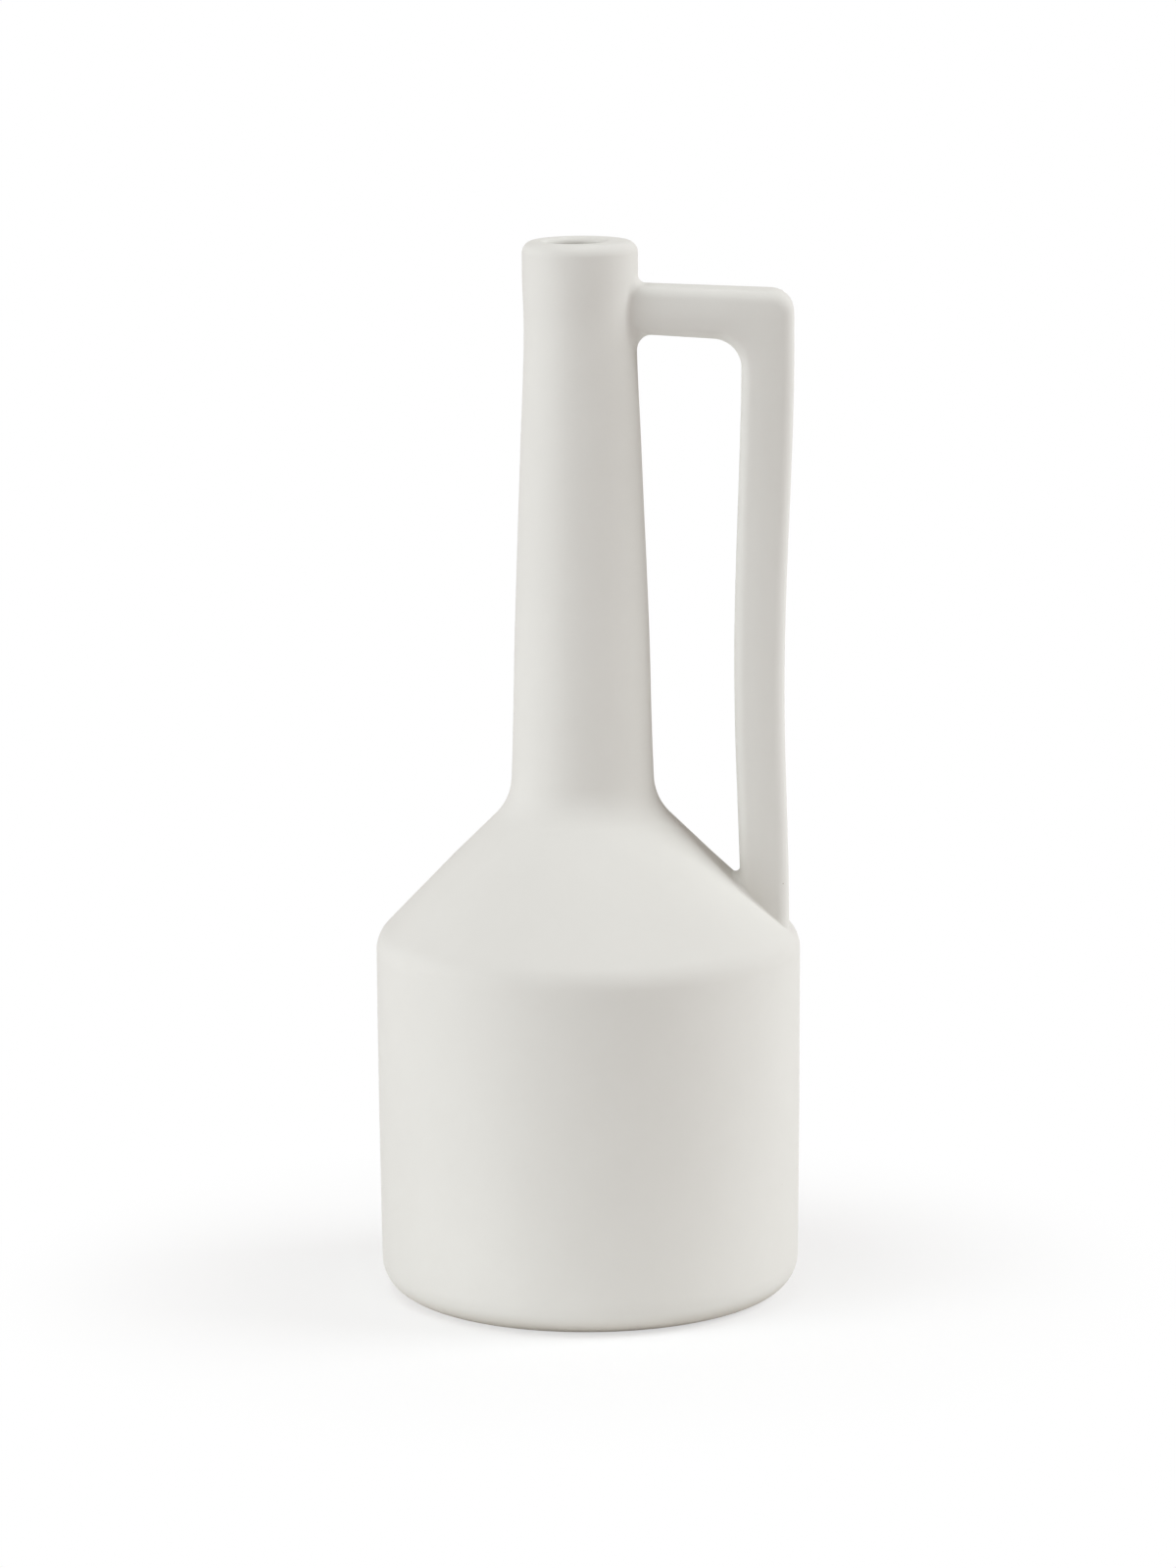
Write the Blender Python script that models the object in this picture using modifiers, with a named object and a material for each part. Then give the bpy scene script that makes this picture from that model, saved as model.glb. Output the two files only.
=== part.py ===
"""A ceramic bottle vase with one angular handle, built from luted clay sections.

Lengths are in metres and +Z is up. The origin is the centre of the foot on the ground, and the
handle is on the +X side. The turned sections share one outside line and one inside line, cut at
the seams. Each seam is a lap: the upper section's tongue stands inside the lower section's rim.
"""

import math

import bmesh
import bpy
from mathutils import Matrix, Vector

# Body and shoulder
HEIGHT = 0.350
BODY_RADIUS = 0.07022
BELLY_HEIGHT = 0.060
BELLY_DRAW = 0.00016
FOOT_DRAW = 0.00086
FOOT_ROUNDING = 0.0115
SHOULDER_HEIGHT = 0.1197
SHOULDER_ROUNDING = 0.0102
SHOULDER_RISE = 0.0457

# Neck: its radius at shares of the way from the shoulder to the lip
NECK_BASE_RADIUS = 0.0239
NECK_BASE_FILLET = 0.019
NECK_TAPER = ((0.12, 0.0231), (0.33, 0.02215), (0.66, 0.01995), (0.89, 0.01845))
LIP_RADIUS = 0.0190
LIP_DEPTH = 0.0090
LIP_ROUNDING = 0.0038

# Mouth and throat: the bore is narrow at the lip and opens below it
MOUTH_RADIUS = 0.0098
MOUTH_ROUNDING = 0.0018
MOUTH_DEPTH = 0.0140
THROAT_LENGTH = 0.0220
THROAT_ROUNDING = 0.0150

# Walls and floor
WALL = 0.0070
FLOOR_LEVEL = 0.0100
FLOOR_FILLET = 0.0060
FOOT_RING_WIDTH = 0.0080
FOOT_RECESS = 0.0025
GLAZE = 0.0005

# Seams: the slip between two sections, and how far a tongue stands inside a rim
SEAM = 0.0003
LAP = 0.0030

# The neck stands a little away from the handle, and the mouth is off the lip's centre
NECK_LEAN = 0.00140
LEAN_RISE = 0.0260
LIP_LEAN = 0.00110
MOUTH_DRIFT = 0.0018

# Handle: insets are measured inwards from the body's radius, the drop down from the lip
ARM_DROP = 0.0134
ARM_FALL = math.radians(2.15)
ARM_DEPTH = 0.0173
ARM_NECK_DEPTH = 0.0155
POST_TOP_INSET = 0.0016
POST_TOP_DEPTH = 0.0172
POST_WAIST_INSET = 0.0049
POST_WAIST_RISE = 0.0830
POST_FOOT_INSET = 0.0035
POST_DEPTH = 0.0160
HANDLE_WIDTH = 0.0195
HANDLE_EDGE = 0.0042
OUTER_CORNER = 0.0078
INNER_CORNER = 0.0095

# Facets
TURN_STEPS = 40
ARC_STEP = math.radians(15)
NECK_STEPS = 6
POST_STEPS = 12
SHARP_ANGLE = math.radians(40)

NECK_BASE_HEIGHT = SHOULDER_HEIGHT + SHOULDER_RISE
NECK_TOP_HEIGHT = HEIGHT - LIP_DEPTH
FOOT_RADIUS = BODY_RADIUS - FOOT_DRAW
FOOT_SEAM_HEIGHT = FLOOR_LEVEL + LAP
SHOULDER_SEAM_HEIGHT = SHOULDER_HEIGHT - SHOULDER_ROUNDING
NECK_SEAM_HEIGHT = NECK_BASE_HEIGHT + NECK_BASE_FILLET / 2
POST_WAIST_HEIGHT = SHOULDER_HEIGHT + POST_WAIST_RISE
MOUTH_EDGE_HEIGHT = HEIGHT - 2 * MOUTH_ROUNDING

CLAY_COLOUR = (0.76, 0.75, 0.71, 1)
RAW_CLAY_COLOUR = (0.70, 0.67, 0.61, 1)
GLAZE_COLOUR = (0.78, 0.77, 0.73, 1)


# Lines and corners, each as (across, up)

def rounded(corners):
    """The line through (across, up, rounding) corners, with an arc at each one that has a rounding."""
    line = []
    for place, (across, up, rounding) in enumerate(corners):
        corner = Vector((across, up))
        if rounding == 0:
            line.append(corner)
            continue
        back = (Vector(corners[place - 1][:2]) - corner).normalized()
        onward = (Vector(corners[place + 1][:2]) - corner).normalized()
        turn = math.pi - back.angle(onward)
        centre = corner + (back + onward).normalized() * rounding / math.cos(turn / 2)
        start = corner + back * rounding * math.tan(turn / 2) - centre
        swing = -math.copysign(turn, back.cross(onward))
        count = max(2, round(turn / ARC_STEP))
        for step in range(count + 1):
            line.append(centre + Matrix.Rotation(swing * step / count, 2) @ start)
    return line


def inset(corners, depth):
    """The corners moved to the right of their path by depth: into the clay, for a path down the outside."""
    moved = []
    for place, (across, up, rounding) in enumerate(corners):
        corner = Vector((across, up))
        before = corner - Vector(corners[max(place - 1, 0)][:2])
        after = Vector(corners[min(place + 1, len(corners) - 1)][:2]) - corner
        before = (before if before.length else after).normalized()
        after = (after if after.length else before).normalized()
        along = (before + after).normalized()
        shift = depth / along.dot(before)
        turn_side = -math.copysign(depth, before.cross(after))
        if rounding:
            rounding = max(rounding - turn_side, MOUTH_ROUNDING)
        moved.append((across + along.y * shift, up - along.x * shift, rounding))
    return moved


def split(line, height):
    """The line's part above the height and its part below it, cut where it first falls past it."""
    for place, (start, end) in enumerate(zip(line, line[1:])):
        if start.y >= height > end.y:
            cut = start.lerp(end, (start.y - height) / (start.y - end.y))
            above = line[:place + 1] if start.y > height else line[:place]
            return above + [cut], [cut] + line[place + 1:]
    raise ValueError("the line doesn't reach this height")


def ease(share):
    """A smooth step from 0 to 1."""
    return (1 - math.cos(math.pi * min(max(share, 0), 1))) / 2


# The vase's outside and inside

def neck_radius(height):
    """The neck's radius, on a smooth curve through its base, its taper stations and the lip."""
    length = NECK_TOP_HEIGHT - NECK_BASE_HEIGHT
    stations = [(0, NECK_BASE_RADIUS), *NECK_TAPER, (1, LIP_RADIUS)]
    rises = [(b[1] - a[1]) / (b[0] - a[0]) for a, b in zip(stations, stations[1:])]
    slopes = [rises[0], *((a + b) / 2 for a, b in zip(rises, rises[1:])), 0]
    share = (height - NECK_BASE_HEIGHT) / length
    place = max(i for i in range(len(rises)) if i == 0 or stations[i][0] <= share)
    (low, low_radius), (high, high_radius) = stations[place:place + 2]
    span = high - low
    t = (share - low) / span
    return (
        low_radius * (1 + 2 * t) * (1 - t) ** 2
        + high_radius * t * t * (3 - 2 * t)
        + span * slopes[place] * t * (1 - t) ** 2
        - span * slopes[place + 1] * t * t * (1 - t)
    )


def skin_corners():
    """The outside's corners, down from the lip's top to the foot ring."""
    step = (NECK_TOP_HEIGHT - NECK_BASE_HEIGHT) / NECK_STEPS
    heights = [NECK_TOP_HEIGHT - place * step for place in range(NECK_STEPS)]
    return [
        (LIP_RADIUS, HEIGHT, LIP_ROUNDING),
        *((neck_radius(height), height, 0) for height in heights),
        (NECK_BASE_RADIUS, NECK_BASE_HEIGHT, NECK_BASE_FILLET),
        (BODY_RADIUS, SHOULDER_HEIGHT, SHOULDER_ROUNDING),
        (BODY_RADIUS - BELLY_DRAW, BELLY_HEIGHT, 0),
        (FOOT_RADIUS, 0, FOOT_ROUNDING),
    ]


def hollow_corners():
    """The inside's corners, down from the mouth's edge to the middle of the floor."""
    throat_top = HEIGHT - MOUTH_DEPTH
    throat_foot = throat_top - THROAT_LENGTH
    walls = [corner for corner in inset(skin_corners(), WALL) if FOOT_SEAM_HEIGHT < corner[1] < throat_foot]
    return [
        (MOUTH_RADIUS, MOUTH_EDGE_HEIGHT, 0),
        (MOUTH_RADIUS, throat_top, THROAT_ROUNDING),
        (neck_radius(throat_foot) - WALL, throat_foot, THROAT_ROUNDING),
        *walls,
        (FOOT_RADIUS - WALL, FLOOR_LEVEL, FLOOR_FILLET),
        (0, FLOOR_LEVEL, 0),
    ]


def lap(skin, hollow, height):
    """The lower section's rim and the upper section's foot at a seam, both from the outside inwards."""
    middle = (split(skin, height)[0][-1].x + split(hollow, height)[0][-1].x) / 2
    rim = [Vector((middle + SEAM / 2, height)), Vector((middle + SEAM / 2, height - LAP))]
    foot = [Vector((middle - SEAM / 2, height + SEAM)), Vector((middle - SEAM / 2, height - LAP + SEAM))]
    return rim, foot


def section(skin, hollow, top, bottom):
    """The closed outline of a section of wall between two seams."""
    rim = lap(skin, hollow, top)[0]
    foot = lap(skin, hollow, bottom)[1]
    outside = split(split(skin, top)[1], bottom + SEAM)[0]
    inside = split(split(hollow, top - LAP)[1], bottom - LAP + SEAM)[0]
    return outside + foot + inside[::-1] + rim[::-1]


# Solids

def link(name, mesh, collection):
    obj = bpy.data.objects.new(name, mesh)
    collection.objects.link(obj)
    return obj


def evaluated_mesh(obj):
    """A welded mesh of the object as its modifiers or its curve make it."""
    graph = bpy.context.evaluated_depsgraph_get()
    mesh = bpy.data.meshes.new_from_object(obj.evaluated_get(graph))
    cage = bmesh.new()
    cage.from_mesh(mesh)
    bmesh.ops.remove_doubles(cage, verts=cage.verts, dist=1e-6)
    cage.to_mesh(mesh)
    cage.free()
    return mesh


def settle(mesh):
    """Moves the neck off the body's axis, and the mouth off the lip's centre."""
    for vertex in mesh.vertices:
        up = vertex.co.z
        radius = math.hypot(vertex.co.x, vertex.co.y)
        rise = min(max((up - SHOULDER_HEIGHT) / LEAN_RISE, 0), 1)
        climb = min(max((up - NECK_BASE_HEIGHT) / (HEIGHT - NECK_BASE_HEIGHT), 0), 1)
        drift = ease((up - (HEIGHT - MOUTH_DEPTH - THROAT_LENGTH)) / THROAT_LENGTH)
        in_bore = 0 < radius < LIP_RADIUS - LIP_ROUNDING
        vertex.co.x -= NECK_LEAN * rise + (LIP_LEAN - NECK_LEAN) * climb + MOUTH_DRIFT * drift * in_bore


def turned(name, outline, closed, collection):
    """A solid of revolution about the Z axis, from an outline that runs down its outer side."""
    profile = bpy.data.meshes.new(name + "_profile")
    points = [(point.x, 0, point.y) for point in outline]
    edges = [(place, place + 1) for place in range(len(points) - 1)]
    if closed:
        edges.append((len(points) - 1, 0))
    profile.from_pydata(points, edges, [])
    obj = link(name, profile, collection)
    screw = obj.modifiers.new("Turn", "SCREW")
    screw.steps = screw.render_steps = TURN_STEPS
    screw.use_merge_vertices = True
    screw.merge_threshold = 0.00001
    obj.data = evaluated_mesh(obj)
    obj.modifiers.clear()
    bpy.data.meshes.remove(profile)
    settle(obj.data)
    smooth(obj)
    return obj


def smooth(obj):
    obj.data.shade_smooth()
    obj.data.set_sharp_from_angle(angle=SHARP_ANGLE)


def ceramic(name, colour, roughness):
    """A Principled material for one finish of the clay."""
    material = bpy.data.materials.new(name)
    material.use_nodes = True
    shader = material.node_tree.nodes["Principled BSDF"]
    shader.inputs["Base Color"].default_value = colour
    shader.inputs["Roughness"].default_value = roughness
    shader.inputs["Metallic"].default_value = 0
    material.diffuse_color = colour
    return material


def cutter(obj):
    obj.hide_render = True
    obj.display_type = "WIRE"
    return obj


def cut(obj, tool):
    boolean = obj.modifiers.new("Cut " + tool.name, "BOOLEAN")
    boolean.operation = "DIFFERENCE"
    boolean.solver = "EXACT"
    boolean.object = tool


# Handle

def arm_top(across):
    return HEIGHT - ARM_DROP - across * math.tan(ARM_FALL)


def arm_foot(across):
    """The arm's underside: the arm grows deeper from the vase's axis to the outer corner."""
    deeper = (ARM_DEPTH - ARM_NECK_DEPTH) * across / (BODY_RADIUS - POST_TOP_INSET)
    return arm_top(across) - ARM_NECK_DEPTH - deeper


def above_waist(up):
    """How far a height is from the post's waist to its top, as a smooth share."""
    top_height = arm_foot(BODY_RADIUS)
    return ease((up - POST_WAIST_HEIGHT) / (top_height - POST_WAIST_HEIGHT))


def below_waist(up):
    """How far a height is from the post's waist to its foot, as a smooth share."""
    return ease((POST_WAIST_HEIGHT - up) / POST_WAIST_RISE)


def post_reach(up):
    """How far the post's outer face stands from the body's axis: it is drawn in at its waist."""
    to_top = (POST_WAIST_INSET - POST_TOP_INSET) * above_waist(up)
    to_foot = (POST_WAIST_INSET - POST_FOOT_INSET) * below_waist(up)
    return BODY_RADIUS - POST_WAIST_INSET + to_top + to_foot


def post_depth(up):
    """The post grows deeper from its foot to its top."""
    share = (up - SHOULDER_HEIGHT) / (arm_foot(BODY_RADIUS) - SHOULDER_HEIGHT)
    return POST_DEPTH + (POST_TOP_DEPTH - POST_DEPTH) * ease(share)


def handle_corners():
    """The outer corner and the inner corner that the arm and the post share."""
    outer = Vector((BODY_RADIUS - POST_TOP_INSET, 0))
    outer.y = arm_top(outer.x)
    inner = Vector((outer.x - POST_TOP_DEPTH, 0))
    inner.y = arm_foot(inner.x)
    return outer, inner


def handle_blank():
    """The whole bent bar as one closed outline, from inside the neck to inside the shoulder."""
    outer, inner = handle_corners()
    top = inner.y - INNER_CORNER
    foot = SHOULDER_HEIGHT - WALL
    heights = [top + (foot - top) * step / POST_STEPS for step in range(POST_STEPS + 1)]
    outside = [(post_reach(up), up, 0) for up in heights]
    inside = [(post_reach(up) - post_depth(up), up, 0) for up in heights]
    outline = rounded([
        (0, arm_top(0), 0),
        (*outer, OUTER_CORNER),
        *outside,
        *inside[::-1],
        (*inner, INNER_CORNER),
        (0, arm_foot(0), 0),
    ])
    curve = bpy.data.curves.new("handle_outline", "CURVE")
    curve.dimensions = "2D"
    curve.fill_mode = "BOTH"
    curve.extrude = HANDLE_WIDTH / 2 - HANDLE_EDGE
    curve.bevel_depth = HANDLE_EDGE
    curve.bevel_resolution = 2
    curve.offset = -HANDLE_EDGE
    spline = curve.splines.new("POLY")
    spline.points.add(len(outline) - 1)
    for point, place in zip(spline.points, outline):
        point.co = (place.x, place.y, 0, 1)
    spline.use_cyclic_u = True
    return curve


def mitre_half(name, side, collection):
    """A block that holds everything on one side of the mitre, and half a seam of the other side."""
    outer, inner = handle_corners()
    slope = (outer - inner).normalized()
    across = Vector((slope.y, 0, -slope.x)) * side
    size = 2 * HEIGHT
    block = bmesh.new()
    bmesh.ops.create_cube(block, size=size)
    mesh = bpy.data.meshes.new(name)
    block.to_mesh(mesh)
    block.free()
    obj = link(name, mesh, collection)
    obj.rotation_euler.y = -math.atan2(slope.y, slope.x)
    obj.location = Vector((inner.x, 0, inner.y)) + across * (size / 2 - SEAM / 2)
    return cutter(obj)


def handle_piece(name, mesh, tools, material, empty, collection):
    obj = link(name, mesh.copy(), collection)
    obj.data.materials.append(material)
    obj.rotation_euler.x = math.pi / 2
    obj.parent = empty
    smooth(obj)
    for tool in tools:
        cut(obj, tool)


def build_handle(parts, cutters, empty, material):
    around = inset([(0, HEIGHT, 0), *skin_corners(), (0, 0, 0)], -SEAM)
    clearance = cutter(turned("vase_clearance", rounded(around), False, cutters))
    post_side = mitre_half("post_side", 1, cutters)
    arm_side = mitre_half("arm_side", -1, cutters)
    guide = link("handle_guide", handle_blank(), cutters)
    mesh = evaluated_mesh(guide)
    bpy.data.objects.remove(guide)
    handle_piece("handle_arm", mesh, (clearance, post_side), material, empty, parts)
    handle_piece("handle_post", mesh, (clearance, arm_side), material, empty, parts)
    bpy.data.meshes.remove(mesh)


# Turned sections

def foot_disc_outline(skin, hollow):
    """The base slab: a rim round the floor, the rounded edge, the foot ring and the recess inside it."""
    rim = lap(skin, hollow, FOOT_SEAM_HEIGHT)[0]
    ring_inside = FOOT_RADIUS - FOOT_ROUNDING - FOOT_RING_WIDTH
    underside = [
        Vector((ring_inside, 0)),
        Vector((ring_inside - FOOT_RECESS, FOOT_RECESS)),
        Vector((0, FOOT_RECESS)),
    ]
    return [Vector((0, FLOOR_LEVEL))] + rim[::-1] + split(skin, FOOT_SEAM_HEIGHT)[1] + underside


def neck_outline(skin, hollow):
    """The neck with its lip: down the outside to the lap, and up the bore to the mouth's rounded edge."""
    foot = lap(skin, hollow, NECK_SEAM_HEIGHT)[1]
    mouth = rounded([
        (MOUTH_RADIUS, MOUTH_EDGE_HEIGHT, 0),
        (MOUTH_RADIUS, HEIGHT, MOUTH_ROUNDING),
        (LIP_RADIUS - LIP_ROUNDING, HEIGHT, 0),
    ])
    outside = split(skin, NECK_SEAM_HEIGHT + SEAM)[0]
    inside = split(hollow, NECK_SEAM_HEIGHT - LAP + SEAM)[0]
    return mouth[1:-1] + outside + foot + inside[::-1]


def lining_outline():
    """The glaze skin: up its inner side from the floor to the mouth, and down its outer side."""
    outer = rounded(inset(hollow_corners(), SEAM))
    inner = rounded(inset(hollow_corners(), SEAM + GLAZE))
    return inner[::-1] + outer


def build_sections(parts, empty, clay, raw_clay, glaze):
    skin = rounded([(MOUTH_RADIUS, HEIGHT, 0), *skin_corners(), (0, 0, 0)])[1:-1]
    hollow = rounded(hollow_corners())
    shoulder = section(skin, hollow, NECK_SEAM_HEIGHT, SHOULDER_SEAM_HEIGHT)
    body_wall = section(skin, hollow, SHOULDER_SEAM_HEIGHT, FOOT_SEAM_HEIGHT)
    solids = (
        ("foot_disc", foot_disc_outline(skin, hollow), False, raw_clay),
        ("body_wall", body_wall, True, clay),
        ("shoulder", shoulder, True, clay),
        ("neck", neck_outline(skin, hollow), True, clay),
        ("glaze_lining", lining_outline(), False, glaze),
    )
    for name, outline, closed, material in solids:
        obj = turned(name, outline, closed, parts)
        obj.data.materials.append(material)
        obj.parent = empty


def main():
    for obj in list(bpy.data.objects):
        bpy.data.objects.remove(obj)
    parts = bpy.data.collections.new("ceramic_vase")
    cutters = bpy.data.collections.new("cutters")
    for collection in (parts, cutters):
        bpy.context.scene.collection.children.link(collection)
    empty = link("vase", None, parts)
    clay = ceramic("matte_clay", CLAY_COLOUR, 0.9)
    raw_clay = ceramic("bare_foot_clay", RAW_CLAY_COLOUR, 0.95)
    glaze = ceramic("inner_glaze", GLAZE_COLOUR, 0.25)
    build_sections(parts, empty, clay, raw_clay, glaze)
    build_handle(parts, cutters, empty, clay)


main()
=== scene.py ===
"""The looks of a ceramic bottle vase with one squared handle, built over its packed solids.

Lengths are in metres and +Z is up. Each clay section, the handle and the inner glaze is a closed
piece of its own. The sections share one skin and meet flush, because the fired pot shows no seam.
"""

import bisect
import math

import bmesh
import bpy
from bpy.props import FloatProperty, FloatVectorProperty, PointerProperty
from mathutils import Matrix, Vector, noise


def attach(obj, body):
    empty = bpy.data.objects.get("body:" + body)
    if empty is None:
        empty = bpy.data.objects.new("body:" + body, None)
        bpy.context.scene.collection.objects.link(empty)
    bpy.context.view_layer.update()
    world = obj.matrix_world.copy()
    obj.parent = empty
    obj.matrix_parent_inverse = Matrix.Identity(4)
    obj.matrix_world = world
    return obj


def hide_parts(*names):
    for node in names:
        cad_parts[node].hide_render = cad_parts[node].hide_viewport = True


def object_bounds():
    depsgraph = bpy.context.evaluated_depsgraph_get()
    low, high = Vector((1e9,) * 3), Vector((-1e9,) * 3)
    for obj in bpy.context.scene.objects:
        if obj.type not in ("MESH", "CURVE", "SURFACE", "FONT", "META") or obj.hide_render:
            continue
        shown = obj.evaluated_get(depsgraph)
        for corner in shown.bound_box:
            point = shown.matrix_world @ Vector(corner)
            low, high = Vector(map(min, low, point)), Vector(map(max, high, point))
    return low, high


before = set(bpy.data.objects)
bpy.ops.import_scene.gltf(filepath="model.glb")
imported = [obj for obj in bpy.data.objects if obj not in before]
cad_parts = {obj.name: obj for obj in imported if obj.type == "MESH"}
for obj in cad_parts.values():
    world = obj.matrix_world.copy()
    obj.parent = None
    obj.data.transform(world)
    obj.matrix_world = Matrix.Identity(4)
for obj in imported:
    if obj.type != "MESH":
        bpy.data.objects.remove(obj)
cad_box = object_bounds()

bl_info = {
    "name": "Ceramic bottle vase",
    "version": (1, 0, 0),
    "blender": (4, 5, 0),
    "location": "3D View > Sidebar > Vase",
    "description": "Builds a matte ceramic bottle vase with one squared handle, and its studio",
    "category": "Add Mesh",
}

HIGH = cad_box[1]
BODY = "root"

# How finely the pieces are drawn
TURN_STEPS = 180
ARC_STEP = math.radians(3.5)
LEAST_ARC_STEPS = 3
NECK_ROWS = 56
LONGEST_ROW = 0.003
SHARP_ANGLE = math.radians(40)
POST_ROWS = 64
ARM_ROWS = 14
CORNER_ROWS = 28
STRIP_STEPS = 4
EDGE_STEPS = 9
SIDE_STEPS = 3
FILLET_STEPS = 9
LEAD_STEPS = 4

# A length too small to see, which keeps points apart and divisions safe
HAIR = 1e-6

# Where the neck's radii stand, as shares of the neck's length
NECK_SHARES = (0.12, 0.33, 0.66, 0.89)

# The dents of hand finishing, as (noise scale, strength, place in the noise). They fade at the axis.
DENTS = ((15, 0.45, Vector((3.1, 0.4, 7.7))), (46, 0.22, Vector((9.2, 5.3, 1.6))))
MEAN_DENT = 0.5
DENT_FADE_RADIUS = 0.02

# How finely the skin under the handle's ends is followed
SLOPE_REACH = 0.0006
NEAREST_STEPS = 4
HALVINGS = 30

# The handle's ends: room before a fillet, the lead past it, its dip and the bar's root
FILLET_ROOM = 0.001
SKIN_LEAD = 0.0008
SKIN_DIP = 0.00006
ROOT_DEPTH = 0.0018

# The clay's and the glaze's surface
CLOUD_EDGES = (0.45, 0.95)
WIPING_STRETCH = (0.12, 0.12, 1)
GLAZE_SHADE = 0.93

# The floor, with its shadow's end in body radii
FLOOR_ROUGHNESS = 0.9
FLOOR_SPECULAR = 0.1
FLOOR_FADE = 3
FLOOR_SIDES = 96
FLOOR_DROP = 0.00002

# What the camera sees past the floor
WHITE = (1, 1, 1, 1)

# The camera, which aims near the middle of the vase
CLIP_START = 0.05
CLIP_END = 50
AIM_ACROSS = 0.00035
AIM_DROP = 0.0046

# The lamps as (name, place, tint), all of one size and with one aim
LAMP_SIZE = 1
LAMP_AIM = Vector((0, 0, 0.18))
LAMPS = (
    ("left", (-1.47, -0.85, 0.55), (0.866, 0.942, 1.0)),
    ("side", (-1.42, -0.38, 1.03), (1.0, 0.917, 0.88)),
    ("right", (1.47, 0.0, 1.03), (0.92, 0.967, 1.0)),
    ("front", (-0.51, -0.51, 1.72), (0.875, 0.971, 1.0)),
)


def maker(**settings):
    """A maker of the properties that share these settings."""
    def make(name, description, default):
        return FloatProperty(name=name, description=description, default=default, **settings)
    return make


length = maker(unit="LENGTH", subtype="DISTANCE", precision=5)
angle = maker(unit="ROTATION", subtype="ANGLE")
focal = maker(unit="CAMERA")
share = maker(min=0, max=1, subtype="FACTOR")
power = maker(min=0)


def colour(name, description, default):
    return FloatVectorProperty(
        name=name, description=description, default=default, size=3, min=0, max=1, subtype="COLOR")


class VaseBodySizes(bpy.types.PropertyGroup):
    """Sizes of the body, its foot and its shoulder."""

    height: length("Height", "From the foot ring to the lip's top", HIGH.z)
    radius: length("Body radius", "Outer radius at the shoulder", HIGH.x)
    belly_height: length("Belly height", "Height at which the wall starts to draw in", 0.06)
    belly_draw: length("Belly draw", "How far the wall is drawn in at the belly height", 0.00016)
    foot_draw: length("Foot draw", "How far the wall is drawn in at the foot", 0.00086)
    foot_rounding: length("Foot rounding", "Radius of the rounded lower edge", 0.0115)
    ring_width: length("Foot ring width", "Width of the flat ring that the vase stands on", 0.008)
    ring_rounding: length("Foot ring rounding", "Radius of the ring's inner edge", 0.0012)
    recess: length("Foot recess", "Depth of the recess inside the foot ring", 0.0025)
    shoulder_height: length("Shoulder height", "Height of the shoulder's corner", 0.1197)
    shoulder_rounding: length("Shoulder rounding", "Radius of the shoulder's corner", 0.0102)
    shoulder_rise: length("Shoulder rise", "Height of the shoulder's cone", 0.0457)
    wall: length("Wall", "Thickness of the clay", 0.007)
    floor_level: length("Floor level", "Height of the inner floor", 0.01)
    floor_fillet: length("Floor fillet", "Radius where the inner floor meets the wall", 0.006)
    lap: length("Lap", "Length of a section's tongue in the next one", 0.003)
    slip: length("Slip", "Clearance between a tongue and its rim", 0.00004)
    dent: length("Dent", "Greatest dent of hand finishing", 0.00022)


class VaseNeckSizes(bpy.types.PropertyGroup):
    """Sizes of the neck, its lip and its mouth."""

    base_radius: length("Base radius", "Radius where the neck's line meets the shoulder", 0.0239)
    base_fillet: length("Base fillet", "Radius of the curve from the shoulder into the neck", 0.019)
    radii: FloatVectorProperty(
        name="Neck radii", description="Radii at fixed shares of the neck's length, from its base up",
        default=(0.0231, 0.02215, 0.01995, 0.01845), size=4, unit="LENGTH", precision=5)
    lip_radius: length("Lip radius", "Outer radius of the lip", 0.019)
    lip_depth: length("Lip depth", "How far the lip's widest line is below its top", 0.009)
    lip_rounding: length("Lip rounding", "Radius of the lip's outer edge", 0.0038)
    mouth_radius: length("Mouth radius", "Radius of the bore at the mouth", 0.0098)
    mouth_rounding: length("Mouth rounding", "Radius of the mouth's edge", 0.0018)
    mouth_depth: length("Mouth depth", "Length of the narrow bore", 0.014)
    throat_length: length("Throat length", "Length over which the bore widens", 0.022)
    throat_rounding: length("Throat rounding", "Radius of the bends in the throat", 0.015)
    lean: length("Neck lean", "How far the neck's foot is off the body's axis", 0.0014)
    lean_rise: length("Lean rise", "Height above the shoulder's corner over which the lean grows", 0.026)
    lip_lean: length("Lip lean", "How far the lip is off the body's axis", 0.0011)
    drift: length("Mouth drift", "How far the mouth is off the lip's centre", 0.0018)
    glaze: length("Glaze", "Thickness of the inner glaze", 0.0005)
    glaze_edge: length("Glaze edge", "How far below the lip's top the glaze starts", 0.0038)


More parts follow.
